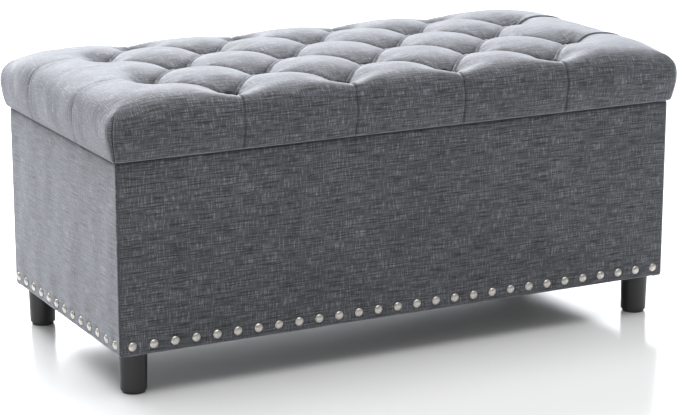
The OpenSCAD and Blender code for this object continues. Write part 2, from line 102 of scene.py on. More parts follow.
def wavy(x, y, size, seed):
    """Smooth, seeded noise over a plane, about -1 to 1, with waves about size long."""
    r = np.random.default_rng(seed)
    total = np.zeros_like(x, dtype=float)
    for octave in range(WAVE_OCTAVES):
        finer = WAVE_STEP**octave
        for _ in range(WAVES_EACH):
            turn, phase = r.uniform(0, FULL_TURN, 2)
            k = FULL_TURN / (size * r.uniform(0.8, 1.4)) * finer
            total += np.sin((x * math.cos(turn) + y * math.sin(turn)) * k + phase) / (WAVE_SHARE * finer)
    return total / WAVE_SHARE


def shade_smooth(mesh):
    mesh.polygons.foreach_set("use_smooth", [True] * len(mesh.polygons))


def mesh_object(name, verts, faces, material, uv=None, smooth_shade=True):
    """A mesh object from arrays, with an optional UV for each vertex."""
    mesh = bpy.data.meshes.new(name)
    mesh.from_pydata([tuple(v) for v in verts], [], [tuple(int(i) for i in f) for f in faces])
    mesh.update()
    if uv is not None:
        layer = mesh.uv_layers.new(name="cloth")
        index = np.zeros(len(mesh.loops), dtype=int)
        mesh.loops.foreach_get("vertex_index", index)
        layer.data.foreach_set("uv", np.asarray(uv, dtype=np.float32)[index].ravel())
    if smooth_shade:
        shade_smooth(mesh)
    obj = bpy.data.objects.new(name, mesh)
    bpy.context.collection.objects.link(obj)
    obj.data.materials.append(material)
    return obj


def finish_mesh(obj, merge=0.00005):
    """Welds doubled points, closes the open underside and makes the faces point outward."""
    mesh = bmesh.new()
    mesh.from_mesh(obj.data)
    bmesh.ops.remove_doubles(mesh, verts=mesh.verts, dist=merge)
    border = [e for e in mesh.edges if e.is_boundary]
    if border:
        bmesh.ops.holes_fill(mesh, edges=border, sides=0)
    bmesh.ops.recalc_face_normals(mesh, faces=mesh.faces)
    mesh.to_mesh(obj.data)
    mesh.free()
    shade_smooth(obj.data)


def paint_crease_shade(obj, depth):
    """Stores painted shade for each vertex, from 0 to 1, which darkens the cloth's material in its creases,
    seams and button wells.
    """
    layer = obj.data.color_attributes.new("crease", "FLOAT_COLOR", "POINT")
    colour = np.ones((len(depth), 4))
    colour[:, :3] = depth[:, None]
    layer.data.foreach_set("color", colour.ravel())


def grid_faces(rows, columns):
    """Quads of a grid of rows x columns vertices, numbered row by row."""
    i, j = np.meshgrid(np.arange(rows - 1), np.arange(columns - 1), indexing="ij")
    a = (i * columns + j).ravel()
    return np.stack([a, a + 1, a + columns + 1, a + columns], axis=1)


def turned(points, turn):
    """Points turned about Z."""
    c, s = math.cos(turn), math.sin(turn)
    x, y, z = points.T
    return np.stack([x * c - y * s, x * s + y * c, z], axis=1)


def vertex_array(mesh):
    flat = np.zeros(len(mesh.vertices) * 3)
    mesh.vertices.foreach_get("co", flat)
    return flat.reshape(-1, 3)


def evaluated_mesh(obj):
    """A copy of the object's mesh with its modifiers applied."""
    return bpy.data.meshes.new_from_object(obj.evaluated_get(bpy.context.evaluated_depsgraph_get()))


def point_tree(points):
    tree = kdtree.KDTree(len(points))
    for i, p in enumerate(points):
        tree.insert(p, i)
    tree.balance()
    return tree


# ---- materials ---------------------------------------------------------------------------------

class Nodes:
    """Short names for building a material's node tree."""

    def __init__(self, name, base, roughness, metallic=0.0):
        self.material = bpy.data.materials.new(name)
        self.material.use_nodes = True
        self.tree = self.material.node_tree
        self.shader = self.tree.nodes["Principled BSDF"]
        self.shader.inputs["Base Color"].default_value = (*base, 1)
        self.shader.inputs["Roughness"].default_value = roughness
        self.shader.inputs["Metallic"].default_value = metallic

    def node(self, kind, **values):
        made = self.tree.nodes.new(kind)
        for key, value in values.items():
            setattr(made, key, value)
        return made

    def link(self, source, target):
        self.tree.links.new(source, target)

    def feed(self, value, target):
        """Sets a socket to a number or a colour, or links an output to it."""
        if isinstance(value, (int, float)):
            target.default_value = value
        elif isinstance(value, tuple):
            target.default_value = (*value, 1)
        else:
            self.link(value, target)

    def coords(self, scale, uv=False):
        """Object coordinates, or the cloth's own, times scale."""
        source = self.node("ShaderNodeTexCoord")
        mapping = self.node("ShaderNodeMapping")
        mapping.inputs["Scale"].default_value = scale
        self.link(source.outputs["UV" if uv else "Object"], mapping.inputs["Vector"])
        return mapping.outputs["Vector"]

    def noise(self, scale, detail=3.0, uv=False, roughness=0.5):
        made = self.node("ShaderNodeTexNoise")
        made.inputs["Scale"].default_value = 1.0
        made.inputs["Detail"].default_value = detail
        made.inputs["Roughness"].default_value = roughness
        self.link(self.coords(scale, uv), made.inputs["Vector"])
        return made.outputs["Fac"]

    def ramp(self, factor, stops):
        """Colours at places from 0 to 1 of a factor."""
        made = self.node("ShaderNodeValToRGB")
        elements = made.color_ramp.elements
        while len(elements) < len(stops):
            elements.new(0.5)
        for element, (place, colour) in zip(elements, stops):
            element.position = place
            element.color = (*colour, 1)
        self.link(factor, made.inputs["Fac"])
        return made.outputs["Color"]

    def grey_ramp(self, factor, *stops):
        return self.ramp(factor, [(place, grey(value)) for place, value in stops])

    def multiply(self, factor, a, b):
        """Colour a times colour b, mixed in by the factor."""
        made = self.node("ShaderNodeMix", data_type="RGBA", blend_type="MULTIPLY")
        self.feed(factor, made.inputs[0])
        self.feed(a, made.inputs[6])
        self.feed(b, made.inputs[7])
        return made.outputs[2]

    def math(self, kind, a, b):
        made = self.node("ShaderNodeMath", operation=kind)
        self.feed(a, made.inputs[0])
        self.feed(b, made.inputs[1])
        return made.outputs[0]

    def bump(self, height, distance, strength, below=None):
        made = self.node("ShaderNodeBump")
        made.inputs["Distance"].default_value = distance
        made.inputs["Strength"].default_value = strength
        self.link(height, made.inputs["Height"])
        if below is not None:
            self.link(below, made.inputs["Normal"])
        return made.outputs["Normal"]

    def surface(self, colour, roughness=None, normal=None):
        """Links what varies over the surface to the shader, and gives the material."""
        for output, socket in ((colour, "Base Color"), (roughness, "Roughness"), (normal, "Normal")):
            if output is not None:
                self.link(output, self.shader.inputs[socket])
        return self.material


def grey(v):
    return (v, v, v)


def linen(name, tint):
    """Slubby linen weave on the cloth's own coordinates, which are in metres along its threads, with painted
    shade in its creases.
    """
    n = Nodes(name, tint, 0.88)
    # long dark slubs along the weft, short pale ones along the warp, and the threads themselves
    weft = n.noise((30, 520, 1), 4.0, uv=True, roughness=0.62)
    warp = n.noise((620, 60, 1), 3.0, uv=True, roughness=0.6)
    fine_weft = n.noise((160, 1500, 1), 2.0, uv=True)
    fine_warp = n.noise((1500, 160, 1), 2.0, uv=True)
    fine = n.math("MULTIPLY", n.math("ADD", fine_weft, fine_warp), 0.5)
    clouds = n.noise((9, 14, 1), 3.0, uv=True)
    # painted shade: the 'crease' attribute darkens the cloth down to 0.3 in its folds, seams and wells
    crease = n.node("ShaderNodeAttribute", attribute_name="crease").outputs["Fac"]
    colour = n.multiply(1.0, tint, n.grey_ramp(weft, (0.36, 0.20), (0.5, 0.88), (0.64, 1.40)))
    colour = n.multiply(1.0, colour, n.grey_ramp(warp, (0.36, 0.62), (0.54, 0.94), (0.68, 2.35)))
    colour = n.multiply(0.8, colour, n.grey_ramp(fine, (0.32, 0.46), (0.5, 1.0), (0.66, 1.65)))
    colour = n.multiply(1.0, colour, n.grey_ramp(clouds, (0.3, 0.86), (0.7, 1.12)))
    colour = n.multiply(1.0, colour, n.grey_ramp(crease, (0.0, 1.0), (1.0, 0.30)))
    threads = n.math("ADD", n.math("MULTIPLY", fine_weft, 0.6), n.math("MULTIPLY", weft, 0.8))
    threads = n.math("ADD", threads, n.math("MULTIPLY", fine_warp, 0.6))
    n.shader.inputs["Sheen Weight"].default_value = 0.9
    n.shader.inputs["Sheen Roughness"].default_value = 0.42
    n.shader.inputs["Sheen Tint"].default_value = (0.90, 0.93, 1.0, 1)
    n.shader.inputs["Specular IOR Level"].default_value = 0.45
    return n.surface(colour, n.grey_ramp(weft, (0.3, 0.80), (0.7, 0.52)), n.bump(threads, 0.0006, 0.5))


def satin_black():
    """Satin black lacquer over wood whose grain shows faintly."""
    n = Nodes("black_lacquer", (0.016, 0.016, 0.018), 0.34)
    grain = n.noise((55, 55, 7), 5.0)
    colour = n.ramp(grain, [(0.3, (0.010, 0.010, 0.011)), (0.7, (0.024, 0.024, 0.026))])
    return n.surface(colour, n.grey_ramp(grain, (0.3, 0.28), (0.7, 0.42)), n.bump(grain, 0.0003, 0.4))


def nickel():
    """Satin nickel plate with fine spots."""
    n = Nodes("satin_nickel", (0.66, 0.63, 0.58), 0.24, 1.0)
    spots = n.noise((420, 420, 420), 3.0)
    colour = n.ramp(spots, [(0.35, (0.52, 0.49, 0.45)), (0.65, (0.74, 0.71, 0.66))])
    return n.surface(colour, n.grey_ramp(spots, (0.3, 0.30), (0.7, 0.46)), n.bump(spots, 0.0002, 0.35))


def zinc():
    """Dark zinc plate over rolled steel."""
    n = Nodes("zinc_plate", (0.6, 0.6, 0.62), 0.32, 1.0)
    rolled = n.noise((8, 260, 260), 4.0)
    blotch = n.noise((40, 40, 40), 3.0)
    plate = n.ramp(rolled, [(0.3, (0.09, 0.09, 0.10)), (0.7, (0.15, 0.15, 0.16))])
    colour = n.multiply(1.0, plate, n.grey_ramp(blotch, (0.35, 0.85), (0.65, 1.05)))
    return n.surface(colour, n.grey_ramp(rolled, (0.3, 0.24), (0.7, 0.44)), n.bump(rolled, 0.0001, 0.5))


def wood(name, light, dark):
    """Raw wood with its grain along X."""
    n = Nodes(name, light, 0.6)
    grain = n.noise((3, 60, 60), 6.0, roughness=0.6)
    pores = n.noise((18, 360, 360), 2.0)
    late = tuple(0.9 * v for v in light)
    rings = n.ramp(grain, [(0.3, dark), (0.55, light), (0.75, late)])
    colour = n.multiply(0.7, rings, n.grey_ramp(pores, (0.35, 0.75), (0.5, 1.0)))
    return n.surface(colour, n.grey_ramp(pores, (0.3, 0.75), (0.7, 0.55)), n.bump(grain, 0.0004, 0.4))


def nonwoven(name, tone):
    """Spun dust cloth or lining: felted fibres with an embossed dot pattern."""
    n = Nodes(name, grey(tone), 0.92)
    fibres = n.noise((500, 500, 500), 5.0, roughness=0.75)
    voronoi = n.node("ShaderNodeTexVoronoi", feature="F1")
    voronoi.inputs["Scale"].default_value = 420.0
    n.link(n.coords((1, 1, 1)), voronoi.inputs["Vector"])
    dots = voronoi.outputs["Distance"]
    felted = n.grey_ramp(fibres, (0.3, tone * 0.6), (0.7, tone * 1.5))
    colour = n.multiply(1.0, felted, n.grey_ramp(dots, (0.1, 0.75), (0.4, 1.05)))
    n.shader.inputs["Sheen Weight"].default_value = 0.15
    return n.surface(colour, normal=n.bump(dots, 0.0004, 0.5, n.bump(fibres, 0.0005, 0.5)))


def fibre(name, colour, scale=300):
    """Felt, rubber, twine, foam or wadding."""
    n = Nodes(name, colour, 0.95)
    fuzz = n.noise((scale, scale, scale), 5.0, roughness=0.7)
    dark = tuple(0.7 * v for v in colour)
    light = tuple(1.15 * v for v in colour)
    n.shader.inputs["Sheen Weight"].default_value = 0.2
    return n.surface(n.ramp(fuzz, [(0.3, dark), (0.7, light)]), normal=n.bump(fuzz, 0.0008, 0.6))


BLUE_GREY = (0.080, 0.083, 0.095)
MATERIALS = {
    "linen": linen("slate_linen", BLUE_GREY),
    "nail_nickel": nickel(),
    "black_wood": satin_black(),
    "zinc_steel": zinc(),
    "plywood": wood("birch_plywood", (0.62, 0.45, 0.27), (0.42, 0.28, 0.15)),
    "softwood": wood("pine", (0.68, 0.5, 0.3), (0.5, 0.33, 0.17)),
    "lining": nonwoven("lining_cloth", 0.05),
    "dust_cloth": nonwoven("dust_cloth", 0.022),
    "felt": fibre("felt", (0.06, 0.06, 0.06)),
    "rubber_pad": fibre("rubber", (0.03, 0.03, 0.03), 120),
    "twine": fibre("twine", (0.6, 0.57, 0.5)),
    "foam": fibre("foam", (0.75, 0.7, 0.5), 400),
    "wadding": fibre("wadding", (0.8, 0.8, 0.78), 200),
}


def dress_frame():
    """Gives every CAD node the finished material of its slot."""
    for entry in frame["record"]["subparts"]:
        obj = nodes[entry["node"]]
        obj.data.materials.clear()
        obj.data.materials.append(MATERIALS[entry["material_slot"]])


# ---- the lid's tufted cushion ------------------------------------------------------------------

CORNER_R = 0.018              # plan radius of the cushion's corners at its swell
CORNER_SINK = 0.0085          # how much lower the crown is at the cushion's corners
HEM = 0.055                   # width of the cover turned under the lid
STEP = 0.0028                 # size of the cushion's mesh away from its folds
TOP_STEP = 0.0050             # the same on the middle of the pillows
FOLD_STEP = 0.0026            # the same along a fold
CLEAR = 0.0022                # how far the open mesh stays from the fine one
ON_BORDER = 1e-5              # how near the top's border a point counts as on it

WELL_R = 0.0090               # radius of a button's well at its floor
WELL_WALL = 0.0050            # width of the well's wall
WELL_EDGE = 0.011             # where the painted shade inside the well starts to fade, and where the small creases round a button start
WELL_DEPTH = 0.026            # depth of the well below the pillows' rounded edges
PIT_DEPTH = 0.0155            # how far the pillows fall to the rim of a button's well
RIM_R_PIT = 0.0125            # radius of that rim
PIT_REACH = 0.078             # how far from a button they start to fall
EDGE_REACH = 0.046            # the same on the side towards the cushion's edge

VALLEY_DEPTH = 0.0088         # how far the pillows fall to a fold, and how much further near its buttons
VALLEY_DEEPER = 0.0045
VALLEY_REACH = 0.056
FOLD_DEPTH = 0.0036           # depth of the fold's own crease, and how much deeper near its buttons
FOLD_DEEPER = 0.0026
FOLD_REACH = 0.011
FOLD_END = 0.024              # how far from a button a fold is deeper
FOLD_SHADE = 0.0016            # width of a fold's line of painted shade
LIP_HEIGHT = 0.0024           # the tucked lip beside a fold, and the groove behind it
LIP_PLACE = 0.0030
LIP_WIDTH = 0.0016
GROOVE_DEPTH = 0.0016
GROOVE_PLACE = 0.0062
GROOVE_WIDTH = 0.0018
# width of the painted shade in the groove
GROOVE_SHADE = 0.0012
OVERLAP_SHARE = 0.3           # share of lip and groove at the folds that overlap
LINE_END = 0.004              # how far lips and dark lines run on past the end of their fold

PLEAT_DEPTH = 0.0010          # depth of an edge pleat, and how much deeper near its button
PLEAT_DEEPER = 0.0034
PLEAT_REACH = 0.009
PLEAT_END = 0.018             # how far from its button a pleat is deeper
PLEAT_STEP = 0.0013           # height of the folded edge of a side pleat
PLEAT_SIDE = 0.007            # how far from the pleat the laid-over cloth lies flat again
PLEAT_BACK = 0.2              # length of a pleat over the flat cloth, past the cushion's edge

WRINKLE = 0.0011              # height of the small creases round a button
WRINKLE_RAYS = (9, 14, 19, 26)
WRINKLE_SEED = 3

SIM_VOXEL = 0.0070            # mesh size of the cloth simulation
SIM_HOLD = 0.006              # how near a fold the cloth is held
SIM_CAP = 0.005               # how far the simulation may move a point
SIM_FRAMES = 20
SIM_PRESSURE = 4.0
SIM_NEIGHBOURS = 5            # coarse points that a fine point follows

# Section of the edge from the bottom to the crown: inset from the swell, and height above the lid's underside
EDGE = np.array([
    (0.0098, 0.0000), (0.0080, 0.0013), (0.0067, 0.0050), (0.0032, 0.0180), (0.0004, 0.0330),
    (0.0006, 0.0460), (0.0030, 0.0590), (0.0080, 0.0682), (0.0160, 0.0750), (0.0280, 0.0800),
    (0.0450, 0.0835), (0.0700, 0.0860), (0.1000, 0.0874), (0.1400, 0.0880), (0.2200, 0.0882),
])

# Loops of the hem under the lid: inset of the loop, its height, and length of cloth from the edge
HEM_LOOPS = ((0.024, 0.0, 0.014), (0.044, 0.0, 0.034), (HEM + 0.0098, 0.0, HEM),
             (HEM + 0.0104, 0.0016, HEM + 0.002))

# Distances at which the mesh is cut beside a fold, a pleat and round a button, and angles at a corner
BESIDE = np.array([0.0, 0.0006, 0.0013, 0.0021, 0.0031, 0.0045, 0.0064, 0.0088])
ROUND_PIT = np.array([0.0, 0.003, 0.006, 0.008, 0.0092, 0.0103, 0.0114, 0.0125, 0.0136, 0.0149,
                      0.0166, 0.0188, 0.0216, 0.0250])
BESIDE_ANGLE = np.radians([0.0, 2.5, 5.5, 9.5, 15.0, 22.0])
CORNER_ANGLES = np.radians([0, 1.5, 3.5, 6, 9.5, 14, 20, 27, 35])


def tuft_places():
    """Plan positions of the buttons: short rows and long rows in turn."""
    places = []
    for row in range(TUFT_ROWS):
        count = TUFT_COLUMNS - 1 if row % 2 == 0 else TUFT_COLUMNS
        y = (row - (TUFT_ROWS - 1) / 2) * TUFT_PITCH_Y
        places += [((i - (count - 1) / 2) * TUFT_PITCH_X, y) for i in range(count)]
    return np.array(places)


def diagonal_folds():
    """Folds between diagonal neighbours."""
    folds = []
    for i, a in enumerate(TUFTS):
        for b in TUFTS[i + 1:]:
            step = np.abs(b - a)
            if abs(step[0] - TUFT_PITCH_X / 2) < 1e-3 and abs(step[1] - TUFT_PITCH_Y) < 1e-3:
                folds.append((a, b))
    return folds


def edge_pleats():
    """Pleats from the outer buttons straight out, as a button and a direction."""
    pleats = []
    for x, y in TUFTS:
        if abs(y) > TUFT_PITCH_Y * (TUFT_ROWS - 1) / 2 - 1e-3:
            pleats.append((np.array([x, y]), np.array([0.0, math.copysign(1, y)])))
        if abs(x) > TUFT_PITCH_X * (TUFT_COLUMNS - 1) / 2 - 1e-3:
            pleats.append((np.array([x, y]), np.array([math.copysign(1, x), 0.0])))
    return pleats


TUFTS = tuft_places()
FOLDS = diagonal_folds()
PLEATS = edge_pleats()


def crease_lines(pleat_length):
    """Every fold and pleat as its start, its direction and its length."""
    lines = []
    for a, b in FOLDS:
        length = np.hypot(*(b - a))
        lines.append((a, (b - a) / length, length))
    return lines + [(a, way, pleat_length) for a, way in PLEATS]


def along_across(x, y, start, way):
    """Distances along and across a line that leaves start in a direction."""
    dx, dy = x - start[0], y - start[1]
    return dx * way[0] + dy * way[1], dx * way[1] - dy * way[0]


def pillow(distance, reach):
    """Rounded side of a pillow: 1 at its crease, falling steeply, and 0 from the reach on."""
    s = 1 - np.clip(distance / reach, 0, 1)
    return 1 - np.sqrt(1 - s * s)


def pit_fall(x, y, tuft):
    """How far the pillows fall towards the rim of one button's well."""
    dx, dy = x - tuft[0], y - tuft[1]
    away = np.hypot(dx, dy)
    outward = np.zeros_like(x)
    for start, way in PLEATS:
        if start[0] == tuft[0] and start[1] == tuft[1]:
            outward = np.maximum(outward, (dx * way[0] + dy * way[1]) / np.maximum(away, 1e-6))
    reach = PIT_REACH + (EDGE_REACH - PIT_REACH) * smooth(outward)
    return PIT_DEPTH * (1 - np.clip((away - RIM_R_PIT) / (reach - RIM_R_PIT), 0, 1)) ** 2


def fold_relief(x, y, a, b):
    """One fold: its wide valley, its crease, its lip and groove, and how much painted shade each point gets on
    its dark lines.
    Folds that run one way are tucked, and those of the other way overlap."""
    length = np.hypot(*(b - a))
    way = (b - a) / length
    along, across = along_across(x, y, a, way)
    past = np.maximum(np.maximum(-along, along - length), 0)
    near = np.exp(-np.maximum(np.minimum(along, length - along), 0) / FOLD_END)
    distance = np.hypot(across, past)
    lean = 1.0 if way[0] * way[1] > 0 else -1.0
    share = (1.0 if lean > 0 else OVERLAP_SHARE) * bell(past, LINE_END)
    side = across * lean
    valley = (VALLEY_DEPTH + VALLEY_DEEPER * near) * (1 - np.clip(distance / VALLEY_REACH, 0, 1)) ** 2
    crease = (FOLD_DEPTH + FOLD_DEEPER * near) * pillow(distance, FOLD_REACH)
    lip = share * LIP_HEIGHT * bell(side - LIP_PLACE, LIP_WIDTH)
    groove = share * GROOVE_DEPTH * bell(side - GROOVE_PLACE, GROOVE_WIDTH)
    # painted shade along the fold's crease, stronger near its buttons, and in the groove beside it
    close = bell(distance, FOLD_SHADE) * (0.55 + 0.45 * near)
    close = np.maximum(close, share * 0.8 * bell(side - GROOVE_PLACE, GROOVE_SHADE))
    return valley, crease, lip - groove, close


def pleat_relief(x, y, start, way):
    """One edge pleat: its crease, its folded edge, and how much painted shade each point gets on its dark line.
    """
    along, across = along_across(x, y, start, way)
    past = np.maximum(-along, 0)
    near = np.exp(-np.maximum(along, 0) / PLEAT_END)
    crease = (PLEAT_DEPTH + PLEAT_DEEPER * near) * pillow(np.hypot(across, past), PLEAT_REACH)
    # cloth laid over itself: it rises to a free edge and drops behind it
    over = np.where(across < 0, np.exp(across / PLEAT_SIDE), -np.exp(-across / PLEAT_SIDE))
    over = over * (1 - bell(across, 0.0006))
    within = bell(past, LINE_END)
    # the third part is painted shade along the pleat's folded edge
    return crease, PLEAT_STEP * over * within, 0.85 * bell(across - 0.0008, 0.0011) * within


def tuft_relief(x, y):
    """Depth of the tufting below the smooth cushion, over the flat cloth, the raised lips of its pleats, and
    how much painted shade each point gets in the creases and button wells, from 0 to 1."""
    valleys = np.zeros_like(x)
    crease = np.zeros_like(x)
    lips = np.zeros_like(x)
    crease_shade = np.zeros_like(x)
    away = np.full_like(x, 1.0)
    for tuft in TUFTS:
        away = np.minimum(away, np.hypot(x - tuft[0], y - tuft[1]))
        valleys += pit_fall(x, y, tuft) ** 3
    for a, b in FOLDS:
        valley, sharp, lip, close = fold_relief(x, y, a, b)
        valleys += valley ** 3
        crease = np.maximum(crease, sharp)
        lips += lip
        crease_shade = np.maximum(crease_shade, close)
    for start, way in PLEATS:
        sharp, lip, close = pleat_relief(x, y, start, way)
        crease = np.maximum(crease, sharp)
        lips += lip
        crease_shade = np.maximum(crease_shade, close)
    deep = np.cbrt(valleys) + crease
    deep += WELL_DEPTH * (1 - smooth((away - WELL_R) / WELL_WALL))
    # painted shade inside each button's well
    crease_shade = np.maximum(crease_shade, 1 - smooth((away - WELL_EDGE) / 0.004))
    return deep, lips * smooth((away - 0.010) / 0.006), crease_shade


def tuft_wrinkles(x, y):
    """Small creases that run out of each button, in metres."""
    out = np.zeros_like(x)
    r = np.random.default_rng(WRINKLE_SEED)
    for tx, ty in TUFTS:
        away = np.hypot(x - tx, y - ty)
        turn = np.arctan2(y - ty, x - tx)
        rays = sum(np.cos(k * turn + r.uniform(0, FULL_TURN)) for k in WRINKLE_RAYS) / len(WRINKLE_RAYS)
        out += WRINKLE * rays * smooth((away - WELL_EDGE) / 0.008) * bell(away - 0.012, 0.020)
    return out


def catmull(points, steps):
    """Catmull-Rom curve through the points."""
    p = np.vstack([2 * points[0] - points[1], points, 2 * points[-1] - points[-2]])
    t = (np.arange(steps) / steps)[:, None]
    spans = []
    for a, b, c, d in zip(p, p[1:], p[2:], p[3:]):
        spans.append(0.5 * (2 * b + (c - a) * t + (2 * a - 5 * b + 4 * c - d) * t**2
                            + (3 * b - a - 3 * c + d) * t**3))
    return np.vstack([*spans, points[-1:]])


EDGE_CURVE = catmull(EDGE, 16)
CROWN_CURVE = EDGE_CURVE[-120:]    # the part above the swell, whose inset only grows


def crown_height(inset):
    return np.interp(inset, CROWN_CURVE[:, 0], CROWN_CURVE[:, 1])


def skirt_section():
    """The edge's section up to where the top's flat mesh starts, at even steps of cloth."""
    inside = EDGE_CURVE[:, 0] > CORNER_R
    inside[:len(EDGE_CURVE) // 2] = False
    curve = np.vstack([EDGE_CURVE[:np.argmax(inside)], (CORNER_R, crown_height(CORNER_R))])
    length = np.concatenate([[0], np.cumsum(np.hypot(*np.diff(curve, axis=0).T))])
    w = np.linspace(0, length[-1], int(length[-1] / STEP) + 1)
    return w, np.interp(w, length, curve[:, 0]), np.interp(w, length, curve[:, 1])


def spaced(half, step, marks):
    """Positions from -half to half, a step apart, and close together beside each mark."""
    coarse = np.linspace(-half, half, int(2 * half / step) + 1)
    fine = np.concatenate([np.concatenate([m - BESIDE, m + BESIDE]) for m in marks])
    keep = np.array([np.min(np.abs(np.array(marks) - c)) > BESIDE[-1] + step / 2 for c in coarse])
    keep[0] = keep[-1] = True
    return np.unique(np.round(np.concatenate([coarse[keep], fine[np.abs(fine) < half - step / 2]]), 6))


def outline_ring():
    """Points round the cushion: a point of the inner rectangle, the outward direction there, and its side."""
    half_x, half_y = LID_X - CORNER_R, LID_Y - CORNER_R
    xs = spaced(half_x, STEP, sorted({round(a[0], 5) for a, d in PLEATS if d[0] == 0}))
    ys = spaced(half_y, STEP, sorted({round(a[1], 5) for a, d in PLEATS if d[1] == 0}))
    turns = np.radians(45) + CORNER_ANGLES
    corner = np.unique(np.round(np.concatenate([turns, RIGHT_ANGLE - turns]), 6))
    sides = ((xs, -half_y), (ys, half_x), (xs[::-1], half_y), (ys[::-1], -half_x))
    ring = []
    for side, (line, fixed) in enumerate(sides):
        start = -RIGHT_ANGLE + side * RIGHT_ANGLE
        out = (round(math.cos(start)), round(math.sin(start)))
        for p in line:
            place = (p, fixed) if side % 2 == 0 else (fixed, p)
            ring.append((*place, *out, side))
        for a in corner:
            owner = side if a < math.pi / 4 else (side + 1) % 4
            ring.append((ring[-1][0], ring[-1][1], math.cos(start + a), math.sin(start + a), owner))
    return np.array(ring), xs, ys


def inset_of(x, y):
    """How far a plan point lies inside the swell, smoothly rounded where two sides are equally near."""
    a = np.maximum(LID_X - CORNER_R - np.abs(x), 1e-7)
    b = np.maximum(LID_Y - CORNER_R - np.abs(y), 1e-7)
    return CORNER_R + a * b / np.sqrt(a * a + b * b)


def beside_line(start, way, length):
    """Mesh points along a fold or pleat and close beside it."""
    stations = np.arange(ROUND_PIT[-1] + 0.0015, length - ROUND_PIT[-1], FOLD_STEP)
    along, across = np.meshgrid(stations, np.unique(np.concatenate([-BESIDE, BESIDE])), indexing="ij")
    along, across = along.ravel(), across.ravel()
    x = start[0] + along * way[0] + across * way[1]
    y = start[1] + along * way[1] - across * way[0]
    return np.stack([x, y], axis=1)


def ways_out(tuft):
    """Angles at which folds and pleats leave a button."""
    ways = []
    for a, b in FOLDS:
        for start, end in ((a, b), (b, a)):
            if np.allclose(start, tuft):
                ways.append(math.atan2(end[1] - start[1], end[0] - start[0]))
    return ways + [math.atan2(way[1], way[0]) for start, way in PLEATS if np.allclose(start, tuft)]


def round_tuft(tuft):
    """Mesh points in rings round a button, close together where folds leave it."""
    fine = np.concatenate([np.concatenate([w + BESIDE_ANGLE, w - BESIDE_ANGLE]) for w in ways_out(tuft)])
    fine = np.mod(fine, FULL_TURN)
    even = np.linspace(0, FULL_TURN, 40, endpoint=False)
    gap = np.abs(np.mod(even[:, None] - fine[None, :] + math.pi, FULL_TURN) - math.pi).min(axis=1)
    angles = np.unique(np.round(np.concatenate([fine, even[gap > np.radians(4)]]), 5))
    rings = []
    for r in ROUND_PIT:
        use = angles if r > 0.005 else angles[::5]
        rings.append(np.stack([tuft[0] + r * np.cos(use), tuft[1] + r * np.sin(use)], axis=1))
    return np.vstack(rings)


def open_cloth(half_x, half_y, lines):
    """Mesh points on the pillows, clear of the fine mesh."""
    x, y = np.meshgrid(np.arange(-half_x + TOP_STEP, half_x, TOP_STEP),
                       np.arange(-half_y + TOP_STEP, half_y, TOP_STEP), indexing="ij")
    x = x + TOP_STEP / 2 * (np.arange(x.shape[1]) % 2)
    x, y = x.ravel(), y.ravel()
    clear = np.ones(len(x), bool)
    for t in TUFTS:
        clear &= np.hypot(x - t[0], y - t[1]) > ROUND_PIT[-1] + CLEAR
    for start, way, length in lines:
        along, across = along_across(x, y, start, way)
        clear &= (np.abs(across) > BESIDE[-1] + CLEAR) | (along < 0) | (along > length)
    return np.stack([x[clear], y[clear]], axis=1)


def top_mesh(xs, ys):
    """Points and triangles of the cushion's top, dense beside the folds and round the buttons."""
    half_x, half_y = LID_X - CORNER_R, LID_Y - CORNER_R
    border = np.array([(x, -half_y) for x in xs] + [(half_x, y) for y in ys[1:]]
                      + [(x, half_y) for x in xs[::-1][1:]] + [(-half_x, y) for y in ys[::-1][1:-1]])
    lines = crease_lines(PLEAT_BACK)
    points = [beside_line(*line) for line in lines] + [round_tuft(t) for t in TUFTS]
    inner = np.vstack([*points, open_cloth(half_x, half_y, lines)])
    room = np.minimum(half_x - np.abs(inner[:, 0]), half_y - np.abs(inner[:, 1]))
    flat = np.vstack([border, inner[room > 0.0012]])
    flat = flat[np.sort(np.unique(np.round(flat, 5), axis=0, return_index=True)[1])]
    # the border is given as one face, so that every edge of it is kept and nothing is made outside it
    made = delaunay_2d_cdt([Vector(p) for p in flat], [], [list(range(len(border)))], 1, 1e-6, False)
    places = np.array([tuple(p) for p in made[0]])
    # slivers between points in one line along the border are no cloth
    on_end = np.abs(np.abs(places[:, 0]) - half_x) < ON_BORDER
    on_side = np.abs(np.abs(places[:, 1]) - half_y) < ON_BORDER
    triangles = [tuple(t) for t in made[2] if not (on_end[list(t)].all() or on_side[list(t)].all())]
    return places, triangles


def skirt_rows(ring, w, offset, height):
    """The swept edge, row by row from the bottom: place, flat cloth coordinates, outward direction, and how
    far up the skirt the row lies, from 0 to 1."""
    cx, cy, nx, ny, _ = ring.T
    arc = w[-1]
    same = np.ones(len(ring))
    slope_in, slope_up = np.gradient(offset), np.gradient(height)
    scale = np.hypot(slope_in, slope_up)
    rows = []
    for k in range(len(w)):
        reach = CORNER_R - offset[k]
        flat_reach = arc - w[k]
        rows.append(np.stack([cx + nx * reach, cy + ny * reach, same * height[k],
                              cx + nx * flat_reach, cy + ny * flat_reach,
                              nx * slope_up[k] / scale[k], ny * slope_up[k] / scale[k],
                              same * (slope_in[k] / scale[k]), same * (w[k] / arc)], axis=1))
    return np.vstack(rows)


def top_rows(flat):
    """The smooth top, with the same columns as the skirt's rows."""
    x, y = flat.T
    rise = 0.00001
    height = crown_height(inset_of(x, y))
    grade_x = crown_height(inset_of(x + rise, y))
    grade_y = crown_height(inset_of(x, y + rise))
    up = np.ones(len(flat))
    normal = np.stack([-(grade_x - height) / rise, -(grade_y - height) / rise, up], axis=1)
    normal /= np.linalg.norm(normal, axis=1)[:, None]
    return np.concatenate([flat, height[:, None], flat, normal, up[:, None]], axis=1)


